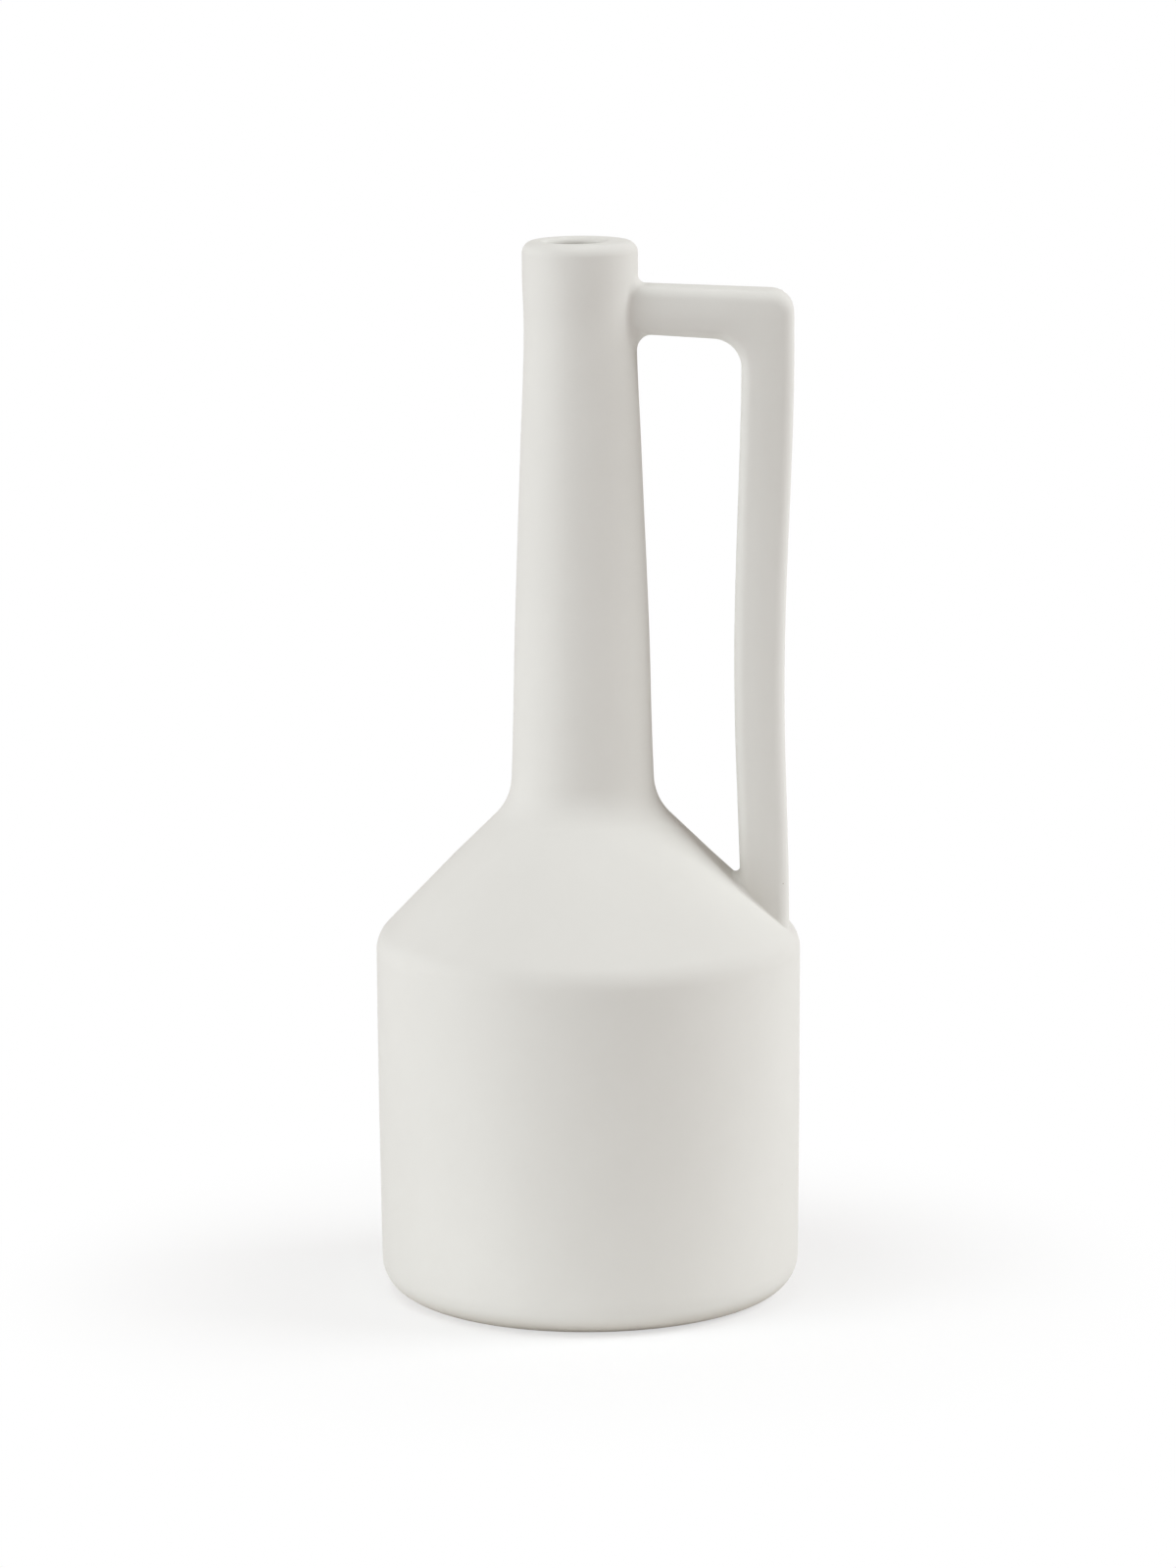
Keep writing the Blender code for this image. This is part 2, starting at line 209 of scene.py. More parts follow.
class VaseHandleSizes(bpy.types.PropertyGroup):
    """Sizes of the handle. An inset is measured inwards from the body's radius."""

    drop: length("Arm drop", "How far the arm's top is below the lip at the axis", 0.0134)
    fall: angle("Arm fall", "Slope of the arm, down to the corner", math.radians(2.15))
    arm_depth: length("Arm depth", "Height of the arm's section at the corner", 0.0173)
    neck_depth: length("Arm depth at the axis", "Height of the arm's section at the axis", 0.0155)
    width: length("Handle width", "Width of the bar", 0.0195)
    edge: length("Edge rounding", "Radius of the bar's long edges", 0.0042)
    crown: length("Crown", "How far each flat face swells in its middle", 0.00016)
    outer_corner: length("Outer corner", "Radius of the outer bend", 0.0078)
    inner_corner: length("Inner corner", "Radius of the inner bend", 0.0095)
    top_inset: length("Post top inset", "Inset of the post's outer face at its top", 0.0016)
    top_depth: length("Post top depth", "Depth of the post at its top", 0.0172)
    waist_inset: length("Post waist inset", "Inset of the post's outer face at its waist", 0.0049)
    waist_rise: length("Post waist rise", "Height of the waist above the shoulder's corner", 0.083)
    foot_inset: length("Post foot inset", "Inset of the post's outer face at its foot", 0.0035)
    post_depth: length("Post depth", "Depth of the post at its foot", 0.016)
    side_fillet: length("Side fillet", "Slip fillet where the arm's sides meet the neck", 0.0026)
    top_fillet: length("Top fillet", "Slip fillet where the arm's top meets the neck", 0.0032)
    under_fillet: length("Under fillet", "Slip fillet where the arm's underside meets the neck", 0.0056)
    crotch_fillet: length("Crotch fillet", "Slip fillet at the foot of the post's inner side", 0.0018)
    foot_fillet: length("Foot fillet", "Slip fillet at the foot of the post's other sides", 0.0009)


class VaseFinish(bpy.types.PropertyGroup):
    """Colours and surface of the clay and the glaze."""

    clay: colour("Clay", "Colour of the matte clay", (0.771, 0.759, 0.72))
    clay_shade: colour("Clay shade", "Colour of the clay's darker clouds", (0.751, 0.739, 0.7))
    # The foot ring's unglazed clay, darker and warmer; its fade up the rounded edge is painted shade.
    raw: colour("Bare clay", "Colour of the bare clay on the foot ring", (0.62, 0.58, 0.52))
    speck: colour("Speck", "Colour of the few iron specks", (0.5, 0.46, 0.4))
    glaze: colour("Glaze", "Colour of the inner glaze", (0.78, 0.77, 0.73))
    speck_share: share("Speck share", "Share of the places that hold a speck", 0.02)
    grain: share("Grain", "Strength of the clay's grain", 0.35)
    grain_depth: length("Grain depth", "Height of the clay's grain", 0.00006)
    # The painted shade on the foot's rounded edge fades out over this height.
    bare_height: length("Bare height", "Height over which the foot turns to bare clay", 0.0078)
    clay_roughness: share("Clay roughness", "Roughness of the driest clay", 0.96)
    clay_polish: share("Clay polish", "How much less rough the clay's clouds are", 0.06)
    clay_specular: share("Clay specular", "Specular level of the clay", 0.25)
    glaze_roughness: share("Glaze roughness", "Roughness of the driest glaze", 0.34)
    glaze_polish: share("Glaze polish", "How much less rough the glaze's clouds are", 0.1)


class VaseStudio(bpy.types.PropertyGroup):
    """The studio's lamps, floor and camera."""

    world: colour("World", "Light from all round", (0.274, 0.227, 0.205))
    left: power("Left lamp", "Watts of the lamp low on the left", 13.2)
    side: power("Side lamp", "Watts of the lamp higher on the left", 3.2)
    right: power("Right lamp", "Watts of the lamp on the right", 20.7)
    front: power("Front lamp", "Watts of the lamp high in front", 9.6)
    floor: colour("Floor", "Colour of the floor", (0.93, 0.93, 0.92))
    floor_radius: length("Floor radius", "Radius of the round floor", 0.7)
    shadow: share("Shadow", "How much of the floor's shadow shows", 0.4)
    distance: length("Camera distance", "From the middle of the vase to the camera", 2.1)
    turn: angle("Camera turn", "Angle to the right of the front", math.radians(2.75))
    rise: angle("Camera rise", "Angle above level", math.radians(10.62))
    roll: angle("Camera roll", "Tilt of the picture", math.radians(-0.407))
    lens: focal("Lens", "Focal length on a 36 mm sensor", 146.25)


PROPERTIES = (
    ("vase_body", VaseBodySizes),
    ("vase_neck", VaseNeckSizes),
    ("vase_handle", VaseHandleSizes),
    ("vase_finish", VaseFinish),
    ("vase_studio", VaseStudio),
)


def sizes():
    """The sizes of the body, the neck and the handle."""
    scene = bpy.context.scene
    return scene.vase_body, scene.vase_neck, scene.vase_handle


# Lines and corners, each as (across, up)

def rounded(corners):
    """The line through (across, up, rounding) corners, with an arc at each one that has a rounding."""
    line = []
    for place, (across, up, rounding) in enumerate(corners):
        corner = Vector((across, up))
        if rounding == 0:
            line.append(corner)
            continue
        back = (Vector(corners[place - 1][:2]) - corner).normalized()
        onward = (Vector(corners[place + 1][:2]) - corner).normalized()
        turn = math.pi - back.angle(onward)
        centre = corner + (back + onward).normalized() * rounding / math.cos(turn / 2)
        start = corner + back * rounding * math.tan(turn / 2) - centre
        swing = -math.copysign(turn, back.cross(onward))
        count = max(LEAST_ARC_STEPS, math.ceil(turn / ARC_STEP))
        for step in range(count + 1):
            line.append(centre + Matrix.Rotation(swing * step / count, 2) @ start)
    return line


def inset(corners, depth):
    """The corners moved to the right of their path by depth: into the clay, for a path down the outside."""
    moved = []
    for place, (across, up, rounding) in enumerate(corners):
        corner = Vector((across, up))
        before = corner - Vector(corners[max(place - 1, 0)][:2])
        after = Vector(corners[min(place + 1, len(corners) - 1)][:2]) - corner
        before = (before if before.length else after).normalized()
        after = (after if after.length else before).normalized()
        along = (before + after).normalized()
        shift = depth / along.dot(before)
        if rounding:
            least = sizes()[1].mouth_rounding
            rounding = max(rounding + math.copysign(depth, before.cross(after)), least)
        moved.append((across + along.y * shift, up - along.x * shift, rounding))
    return moved


def split(line, height):
    """The line's part above the height and its part below it, cut where it first falls past it."""
    for place, (start, end) in enumerate(zip(line, line[1:])):
        if start.y >= height > end.y:
            cut = start.lerp(end, (start.y - height) / (start.y - end.y))
            above = line[:place + 1] if start.y > height else line[:place]
            return above + [cut], [cut] + line[place + 1:]
    raise ValueError("the line doesn't reach this height")


def dense(line):
    """The line with more points, so that no row of faces is tall."""
    points = [line[0]]
    for start, end in zip(line, line[1:]):
        count = max(1, math.ceil((end - start).length / LONGEST_ROW))
        points += [start.lerp(end, step / count) for step in range(1, count + 1)]
    return points


def ease(portion):
    """A smooth step from 0 to 1."""
    return (1 - math.cos(math.pi * min(max(portion, 0), 1))) / 2


# The vase's outside and inside

def neck_base_height():
    """The height at which the shoulder's cone would meet the neck without a fillet."""
    body = sizes()[0]
    return body.shoulder_height + body.shoulder_rise


def neck_radius(height):
    """The neck's radius, on a smooth curve through its base, its stations and the lip."""
    body, neck, _ = sizes()
    base = neck_base_height()
    stations = [(0, neck.base_radius), *zip(NECK_SHARES, neck.radii), (1, neck.lip_radius)]
    rises = [(b[1] - a[1]) / (b[0] - a[0]) for a, b in zip(stations, stations[1:])]
    slopes = [rises[0], *((a + b) / 2 for a, b in zip(rises, rises[1:])), 0]
    reached = (height - base) / (body.height - neck.lip_depth - base)
    place = max(i for i in range(len(rises)) if i == 0 or stations[i][0] <= reached)
    (low, low_radius), (high, high_radius) = stations[place:place + 2]
    span = high - low
    t = (reached - low) / span
    return (
        low_radius * (1 + 2 * t) * (1 - t) ** 2
        + high_radius * t * t * (3 - 2 * t)
        + span * slopes[place] * t * (1 - t) ** 2
        - span * slopes[place + 1] * t * t * (1 - t)
    )


def skin_corners():
    """The outside's corners, down from the lip's top to the foot ring."""
    body, neck, _ = sizes()
    top = body.height - neck.lip_depth
    step = (top - neck_base_height()) / NECK_ROWS
    first_row = math.ceil(neck.base_fillet / 2 / step)
    heights = [top - row * step for row in range(NECK_ROWS - first_row)]
    return [
        (neck.lip_radius, body.height, neck.lip_rounding),
        *((neck_radius(height), height, 0) for height in heights),
        (neck.base_radius, neck_base_height(), neck.base_fillet),
        (body.radius, body.shoulder_height, body.shoulder_rounding),
        (body.radius - body.belly_draw, body.belly_height, 0),
        (body.radius - body.foot_draw, 0, body.foot_rounding),
    ]


def hollow_corners():
    """The inside's corners, down from the mouth's edge to the middle of the floor."""
    body, neck, _ = sizes()
    throat_top = body.height - neck.mouth_depth
    throat_foot = throat_top - neck.throat_length
    low = body.floor_level + body.lap
    walls = [corner for corner in inset(skin_corners(), body.wall) if low < corner[1] < throat_foot]
    return [
        (neck.mouth_radius, body.height - 2 * neck.mouth_rounding, 0),
        (neck.mouth_radius, throat_top, neck.throat_rounding),
        (neck_radius(throat_foot) - body.wall, throat_foot, neck.throat_rounding),
        *walls,
        (body.radius - body.foot_draw - body.wall, body.floor_level, body.floor_fillet),
        (0, body.floor_level, 0),
    ]


def skin_line():
    """The outside's line, down from the lip's top to the foot ring."""
    body, neck, _ = sizes()
    return dense(rounded([(neck.mouth_radius, body.height, 0), *skin_corners(), (0, 0, 0)])[1:-1])


def hollow_line():
    """The inside's line, down from the mouth's edge to the middle of the floor."""
    return dense(rounded(hollow_corners()))


def seam_heights():
    """The heights of the seams at the foot, the shoulder and the neck."""
    body, neck, _ = sizes()
    return (
        body.floor_level + body.lap,
        body.shoulder_height - body.shoulder_rounding,
        neck_base_height() + neck.base_fillet / 2,
    )


def lap(skin, hollow, height):
    """The lower section's rim and the upper section's foot at a seam, both from the outside inwards."""
    body = sizes()[0]
    middle = (split(skin, height)[0][-1].x + split(hollow, height)[0][-1].x) / 2
    low = height - body.lap
    rim = [Vector((middle + body.slip, height)), Vector((middle + body.slip, low))]
    foot = [Vector((middle - body.slip, height)), Vector((middle - body.slip, low + body.slip))]
    return rim, foot


def section(skin, hollow, top, bottom):
    """The closed outline of a section of wall between two seams."""
    body = sizes()[0]
    rim = lap(skin, hollow, top)[0]
    foot = lap(skin, hollow, bottom)[1]
    outside = split(split(skin, top)[1], bottom)[0]
    inside = split(split(hollow, top - body.lap)[1], bottom - body.lap + body.slip)[0]
    return outside + foot + inside[::-1] + rim[::-1]


# The off-centre neck and mouth, and the dents of hand finishing

def lean_at(height):
    """How far the axis stands from the body's axis at a height, away from the handle."""
    body, neck, _ = sizes()
    rise = min(max((height - body.shoulder_height) / neck.lean_rise, 0), 1)
    climb = min(max((height - neck_base_height()) / (body.height - neck_base_height()), 0), 1)
    return neck.lean * rise + (neck.lip_lean - neck.lean) * climb


def settled(point):
    """A point of a turned piece, moved with the leaning neck and the off-centre mouth."""
    body, neck, _ = sizes()
    radius = math.hypot(point.x, point.y)
    rim_inside = neck.mouth_radius + neck.mouth_rounding
    rim_outside = neck.lip_radius - neck.lip_rounding
    inside = ease((rim_outside - radius) / (rim_outside - rim_inside))
    top = body.height - neck.mouth_depth
    drift = ease((point.z - top + neck.throat_length) / neck.throat_length)
    shift = lean_at(point.z) + neck.drift * drift * inside
    return Vector((point.x - shift, point.y, point.z))


def finished(point):
    """The point where hand finishing left it: never outwards, never up, and still level at the foot."""
    body = sizes()[0]
    level = MEAN_DENT
    for scale, strength, place in DENTS:
        level += strength * noise.noise(point * scale + place)
    depth = body.dent * min(max(level, 0), 1)
    radius = math.hypot(point.x, point.y)
    inward = depth * min(radius / DENT_FADE_RADIUS, 1) / max(radius, HAIR)
    down = depth * (point.z / body.height) ** 2 / 2
    return Vector((point.x * (1 - inward), point.y * (1 - inward), point.z - down))


# Meshes

def shown(name, data):
    """A new object in the scene."""
    obj = bpy.data.objects.new(name, data)
    bpy.context.scene.collection.objects.link(obj)
    return obj


def mesh_from(name, cage, material):
    """A mesh of one material, from a cage that is then freed."""
    mesh = bpy.data.meshes.new(name)
    cage.to_mesh(mesh)
    cage.free()
    mesh.materials.append(material)
    return mesh


def piece(name, cage, material, slot, *nodes):
    """A shown piece from a closed cage. It rides on the one body and stands for the solids named."""
    bmesh.ops.recalc_face_normals(cage, faces=cage.faces)
    if any(len(edge.link_faces) != 2 for edge in cage.edges):
        raise ValueError(name + " isn't closed")
    mesh = mesh_from(name, cage, material)
    mesh.shade_smooth()
    mesh.set_sharp_from_angle(angle=SHARP_ANGLE)
    obj = shown(name, mesh)
    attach(obj, BODY)
    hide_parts(*nodes)


def bridge(cage, upper, lower):
    """The faces between two rings, of which one may be the same point over and over."""
    for place, after in enumerate(upper[1:] + upper[:1]):
        corners = (upper[place], lower[place], lower[(place + 1) % len(lower)], after)
        cage.faces.new(list(dict.fromkeys(corners)))


def turned(outline, closed):
    """A cage of revolution about the Z axis, from an outline. A ring on the axis is one point."""
    cage = bmesh.new()
    turns = [2 * math.pi * step / TURN_STEPS for step in range(TURN_STEPS)]
    rings = []
    for point in outline:
        if point.x < HAIR:
            rings.append([cage.verts.new(finished(settled(Vector((0, 0, point.y)))))] * TURN_STEPS)
            continue
        circle = [Vector((point.x * math.cos(turn), point.x * math.sin(turn), point.y)) for turn in turns]
        rings.append([cage.verts.new(finished(settled(place))) for place in circle])
    pairs = list(zip(rings, rings[1:]))
    if closed:
        pairs.append((rings[-1], rings[0]))
    for upper, lower in pairs:
        bridge(cage, upper, lower)
    return cage


# The handle's line: matched points on the bar's outer and inner sides, from the neck to the shoulder

def arm_top(across):
    """The arm's top: it falls from the neck to the outer corner."""
    body, _, handle = sizes()
    return body.height - handle.drop - across * math.tan(handle.fall)


def arm_foot(across):
    """The arm's underside: the arm grows deeper from the vase's axis to the outer corner."""
    body, _, handle = sizes()
    deeper = (handle.arm_depth - handle.neck_depth) * across / (body.radius - handle.top_inset)
    return arm_top(across) - handle.neck_depth - deeper


def handle_corners():
    """The outer corner and the inner corner that the arm and the post share."""
    body, _, handle = sizes()
    outer = Vector((body.radius - handle.top_inset, 0))
    outer.y = arm_top(outer.x)
    inner = Vector((outer.x - handle.top_depth, 0))
    inner.y = arm_foot(inner.x)
    return outer, inner


def post_sides(up):
    """The post's outer and inner side at a height: it is drawn in at its waist."""
    body, _, handle = sizes()
    foot, top = body.shoulder_height, arm_foot(body.radius)
    waist = foot + handle.waist_rise
    above = ease((up - waist) / (top - waist))
    below = ease((waist - up) / handle.waist_rise)
    to_top = (handle.waist_inset - handle.top_inset) * above
    to_foot = (handle.waist_inset - handle.foot_inset) * below
    reach = body.radius - handle.waist_inset + to_top + to_foot
    depth = handle.post_depth + (handle.top_depth - handle.post_depth) * ease((up - foot) / (top - foot))
    return Vector((reach, up)), Vector((reach - depth, up))


def evenly(line, count):
    """Count + 1 points along the line, the same way apart."""
    runs = [0]
    for start, end in zip(line, line[1:]):
        runs.append(runs[-1] + (end - start).length)
    points = []
    for step in range(count + 1):
        way = runs[-1] * step / count
        place = min(max(bisect.bisect_right(runs, way) - 1, 0), len(line) - 2)
        portion = (way - runs[place]) / (runs[place + 1] - runs[place])
        points.append(line[place].lerp(line[place + 1], portion))
    return points


def handle_sides():
    """The bar's outer side and inner side as two lists of points that face each other."""
    body, neck, handle = sizes()
    outer, inner = handle_corners()
    bend_start = inner.x - handle.inner_corner
    bend_end = inner.y - handle.inner_corner
    first = neck.mouth_radius
    arm = [first + (bend_start - first) * row / ARM_ROWS for row in range(ARM_ROWS)]
    foot = body.shoulder_height - body.wall
    post = [bend_end + (foot - bend_end) * row / POST_ROWS for row in range(POST_ROWS + 1)]
    outer_end, inner_end = post_sides(bend_end)
    outer_bend = rounded([
        (bend_start, arm_top(bend_start), 0), (*outer, handle.outer_corner), (*outer_end, 0)])
    inner_bend = rounded([
        (bend_start - HAIR, arm_foot(bend_start), 0),
        (*inner, handle.inner_corner),
        (inner_end.x, inner_end.y - HAIR, 0),
    ])
    outer_side = [Vector((across, arm_top(across))) for across in arm]
    inner_side = [Vector((across, arm_foot(across))) for across in arm]
    outer_side += evenly(outer_bend, CORNER_ROWS) + [post_sides(up)[0] for up in post[1:]]
    inner_side += evenly(inner_bend, CORNER_ROWS) + [post_sides(up)[1] for up in post[1:]]
    return outer_side, inner_side


def inward_normals(side, other):
    """For each point of one side, the direction square to it that points into the bar."""
    normals = []
    for place, point in enumerate(side):
        along = (side[min(place + 1, len(side) - 1)] - side[max(place - 1, 0)]).normalized()
        square = Vector((along.y, -along.x))
        normals.append(square if square.dot(other[place] - point) > 0 else -square)
    return normals


def quarter_section():
    """A quarter of the bar's section as (depth below its side, share of the way to its middle, out)."""
    handle = sizes()[2]
    half = handle.width / 2
    tilt = 2 * handle.crown / (half - handle.edge)
    strip = half - handle.crown - handle.edge * (1 + math.sin(tilt) - tilt)
    points = []
    for step in range(STRIP_STEPS):
        portion = step / STRIP_STEPS
        points.append((handle.crown * portion ** 2, 0, strip * portion))
    for step in range(EDGE_STEPS + 1):
        lean = tilt + (math.pi / 2 - 2 * tilt) * step / EDGE_STEPS
        sunk = handle.crown + handle.edge * (math.cos(tilt) - math.cos(lean))
        points.append((sunk, 0, strip + handle.edge * (math.sin(lean) - math.sin(tilt))))
    last_depth, _, last_out = points[-1]
    for step in range(1, SIDE_STEPS + 1):
        portion = step / SIDE_STEPS
        points.append((last_depth, portion, last_out + (half - last_out) * (2 * portion - portion ** 2)))
    return points


def bar_rings():
    """A ring of points round the bar at each pair of facing points, all starting at its outer side."""
    outer_side, inner_side = handle_sides()
    outer_in = inward_normals(outer_side, inner_side)
    inner_in = inward_normals(inner_side, outer_side)
    quarter = quarter_section()
    rings = []
    for outer, inner, from_outer, from_inner in zip(outer_side, inner_side, outer_in, inner_in):
        middle = (outer + inner) / 2
        half_ring = []
        for side, normal, steps in ((outer, from_outer, quarter), (inner, from_inner, quarter[-2::-1])):
            for depth, portion, out in steps:
                flat = (side + normal * depth).lerp(middle, portion)
                half_ring.append(Vector((flat.x, out, flat.y)))
        mirrored = [Vector((point.x, -point.y, point.z)) for point in half_ring[-2:0:-1]]
        rings.append(half_ring + mirrored)
    return rings


# The slip fillets where the bar meets the turned skin

class Skin:
    """The vase's outside as a radius for each height."""

    def __init__(self):
        line = skin_line()
        self.heights = [point.y for point in line[::-1]]
        self.radii = [point.x for point in line[::-1]]

    def radius(self, height):
        place = min(max(bisect.bisect_right(self.heights, height), 1), len(self.heights) - 1)
        low, high = self.heights[place - 1:place + 1]
        portion = (height - low) / max(high - low, HAIR)
        return self.radii[place - 1] + (self.radii[place] - self.radii[place - 1]) * portion

    def above(self, point):
        """How far the point is outside the skin, measured level."""
        return math.hypot(point.x + lean_at(point.z), point.y) - self.radius(point.z)

    def normal(self, point):
        """The direction square to the skin, outwards, at the point's height."""
        rise = self.radius(point.z + SLOPE_REACH) - self.radius(point.z - SLOPE_REACH)
        slope = rise / (2 * SLOPE_REACH)
        across = Vector((point.x + lean_at(point.z), point.y, 0)).normalized()
        return Vector((across.x, across.y, -slope)).normalized()

    def nearest(self, point):
        """The point moved square to the skin until it lies on it."""
        for _ in range(NEAREST_STEPS):
            normal = self.normal(point)
            point = point - normal * self.above(point) * math.hypot(normal.x, normal.y)
        return point


def meeting(skin, path):
    """Where a line of the bar, followed towards the vase, first meets the skin, and its way out."""
    for start, end in zip(path, path[1:]):
        if skin.above(end) <= 0 < skin.above(start):
            low, high = 0, 1
            for _ in range(HALVINGS):
                half = (low + high) / 2
                if skin.above(start.lerp(end, half)) > 0:
                    low = half
                else:
                    high = half
            return start.lerp(end, high), (start - end).normalized()
    raise ValueError("a line of the handle doesn't meet the vase")


def fillet_size(normal, at_neck):
    """The fillet's radius for a face of the bar that looks this way."""
    handle = sizes()[2]
    if not at_neck:
        inner = max(-normal.x, 0) ** 2
        return handle.crotch_fillet * inner + handle.foot_fillet * (1 - inner)
    upright = handle.top_fillet if normal.z > 0 else handle.under_fillet
    return upright * normal.z ** 2 + handle.side_fillet * (1 - normal.z ** 2)


def flare(skin, rings, at_neck):
    """The rings that lead from the bar's last clear ring over the fillet and into the clay."""
    count = len(rings[0])
    middle = sum(rings[0], Vector()) / count
    meets = [meeting(skin, [ring[place] for ring in rings]) for place in range(count)]
    columns = []
    for place, (corner, out) in enumerate(meets):
        across = meets[(place + 1) % count][0] - meets[place - 1][0]
        bar_normal = out.cross(across).normalized()
        if bar_normal.dot(rings[0][place] - middle) < 0:
            bar_normal = -bar_normal
        skin_normal = skin.normal(corner)
        size = fillet_size(bar_normal, at_neck)
        centre = corner + (bar_normal + skin_normal) * size / (1 + bar_normal.dot(skin_normal))
        bar_end, skin_end = centre - bar_normal * size, centre - skin_normal * size
        shift = skin.nearest(skin_end) - skin_end
        column = [rings[0][place].lerp(bar_end, step / LEAD_STEPS) for step in range(1, LEAD_STEPS)]
        for step in range(FILLET_STEPS + 1):
            portion = step / FILLET_STEPS
            column.append(centre - bar_normal.slerp(skin_normal, portion) * size + shift * portion ** 2)
        away = (bar_normal - skin_normal * bar_normal.dot(skin_normal)).normalized()
        edge = skin.nearest(column[-1] + away * SKIN_LEAD)
        column.append(edge - skin.normal(edge) * SKIN_DIP)
        column.append(edge - skin.normal(edge) * ROOT_DEPTH)
        columns.append(column)
    return [list(ring) for ring in zip(*columns)]


def handle_cage():
    """The whole handle: the bar, a fillet at each end and a cap inside the clay."""
    skin = Skin()
    rings = bar_rings()
    room = sizes()[2].side_fillet + FILLET_ROOM
    clear = [place for place, ring in enumerate(rings) if min(map(skin.above, ring)) > room]
    first, last = clear[0], clear[-1]
    neck_end = flare(skin, rings[first::-1], True)
    foot_end = flare(skin, rings[last:], False)
    course = neck_end[::-1] + rings[first:last + 1] + foot_end
    cage = bmesh.new()
    loops = [[cage.verts.new(finished(point)) for point in ring] for ring in course]
    for upper, lower in zip(loops, loops[1:]):
        bridge(cage, upper, lower)
    for loop in (loops[0], loops[-1]):
        hub = cage.verts.new(sum((vert.co for vert in loop), Vector()) / len(loop))
        bridge(cage, [hub] * len(loop), loop)
    return cage


# Materials

def label(key):
    """The socket's label that a keyword stands for."""
    return key.replace("_", " ").title()


def feed(tree, socket, given):
    """Links a socket to another one, or sets its value."""
    if isinstance(given, bpy.types.NodeSocket):
        tree.links.new(given, socket)
    else:
        socket.default_value = given


def node_group(name, output, **numbers):
    """A shader node group that reads a place and numbers, as (group, what it is given, its result)."""
    group = bpy.data.node_groups.new(name, "ShaderNodeTree")
    group.interface.new_socket("Vector", in_out="INPUT", socket_type="NodeSocketVector")
    for key, default in numbers.items():
        socket = group.interface.new_socket(label(key), in_out="INPUT", socket_type="NodeSocketFloat")
        socket.default_value = default
    group.interface.new_socket(output, in_out="OUTPUT", socket_type="NodeSocketFloat")
    given = group.nodes.new("NodeGroupInput").outputs
    return group, given, group.nodes.new("NodeGroupOutput").inputs[0]


def add(tree, kind, **settings):
    """A node with its own settings, and with inputs set where a name matches one."""
    node = tree.nodes.new(kind)
    for key, setting in settings.items():
        if hasattr(node, key):
            setattr(node, key, setting)
        else:
            node.inputs[label(key)].default_value = setting
    return node


def maths(tree, operation, first, second):
    """A Math node whose two values are numbers or sockets."""
    node = add(tree, "ShaderNodeMath", operation=operation)
    feed(tree, node.inputs[0], first)
    feed(tree, node.inputs[1], second)
    return node.outputs[0]


def mixed(tree, factor, first, second):
    """A colour mix whose factor and colours are sockets or values."""
    node = add(tree, "ShaderNodeMix", data_type="RGBA")
    feed(tree, node.inputs[0], factor)
    feed(tree, node.inputs[6], first)
    feed(tree, node.inputs[7], second)
    return node.outputs[2]


def ramp(tree, given, low, high):
    """A smooth mask that is 0 below low and 1 above high."""
    node = add(tree, "ShaderNodeMapRange", interpolation_type="SMOOTHSTEP")
    feed(tree, node.inputs["Value"], given)
    feed(tree, node.inputs["From Min"], low)
    feed(tree, node.inputs["From Max"], high)
    return node.outputs["Result"]


def texture(tree, place, scale, kind="ShaderNodeTexNoise", **settings):
    """A texture node that reads this place at this scale."""
    node = add(tree, kind, **settings)
    tree.links.new(place, node.inputs["Vector"])
    feed(tree, node.inputs["Scale"], scale)
    return node


def speck_group():
    """Masks the few places where a speck or a pinhole shows in the surface."""
    group, given, result = node_group("sparse specks", "Mask", scale=170, size=0.07, share=0.02)
    cells = texture(group, given["Vector"], given["Scale"], "ShaderNodeTexVoronoi", feature="F1")
    near = ramp(group, cells.outputs["Distance"], given["Size"], 0)
    draw = add(group, "ShaderNodeSeparateColor")
    group.links.new(cells.outputs["Color"], draw.inputs[0])
    chosen = maths(group, "LESS_THAN", draw.outputs[0], given["Share"])
    group.links.new(maths(group, "MULTIPLY", near, chosen), result)
    return group


def cloud_group():
    """Soft clouds over a hand's breadth, with a finer mottle in them."""
    group, given, result = node_group("clay clouds", "Mask", cloud_scale=11, mottle_scale=95, mottle=0.4)
    clouds = texture(group, given["Vector"], given["Cloud Scale"], detail=2, roughness=0.5)
    mottle = texture(group, given["Vector"], given["Mottle Scale"], detail=4, roughness=0.6)
    finer = maths(group, "MULTIPLY", mottle.outputs[0], given["Mottle"])
    both = maths(group, "ADD", clouds.outputs[0], finer)
    group.links.new(ramp(group, both, *CLOUD_EDGES), result)
    return group


def grain_group():
    """The height of a powdery grain, with faint wiping marks round the pot."""
    group, given, result = node_group("powder grain", "Height", scale=1500, wiping=0.5, pits=0)
    powder = texture(group, given["Vector"], given["Scale"], detail=5, roughness=0.65)
    stretch = add(group, "ShaderNodeMapping")
    stretch.inputs["Scale"].default_value = WIPING_STRETCH
    group.links.new(given["Vector"], stretch.inputs["Vector"])
    wiped = texture(group, stretch.outputs[0], 420, detail=3)
    marks = maths(group, "MULTIPLY", wiped.outputs[0], given["Wiping"])
    level = maths(group, "ADD", powder.outputs[0], marks)
    group.links.new(maths(group, "SUBTRACT", level, given["Pits"]), result)
    return group


GROUPS = {"sparse specks": speck_group, "clay clouds": cloud_group, "powder grain": grain_group}


def placed(tree, name, place, **numbers):
    """A shared group's node in a material, with its own numbers."""
    group = bpy.data.node_groups.get(name) or GROUPS[name]()
    node = add(tree, "ShaderNodeGroup", node_tree=group)
    tree.links.new(place, node.inputs["Vector"])
    for key, setting in numbers.items():
        node.inputs[label(key)].default_value = setting
    return node


def new_material(name):
    """A node material, with its tree, its shader and the place on the object in metres."""
    material = bpy.data.materials.new(name)
    material.use_nodes = True
    tree = material.node_tree
    place = tree.nodes.new("ShaderNodeTexCoord").outputs["Object"]
    return material, tree, tree.nodes["Principled BSDF"], place


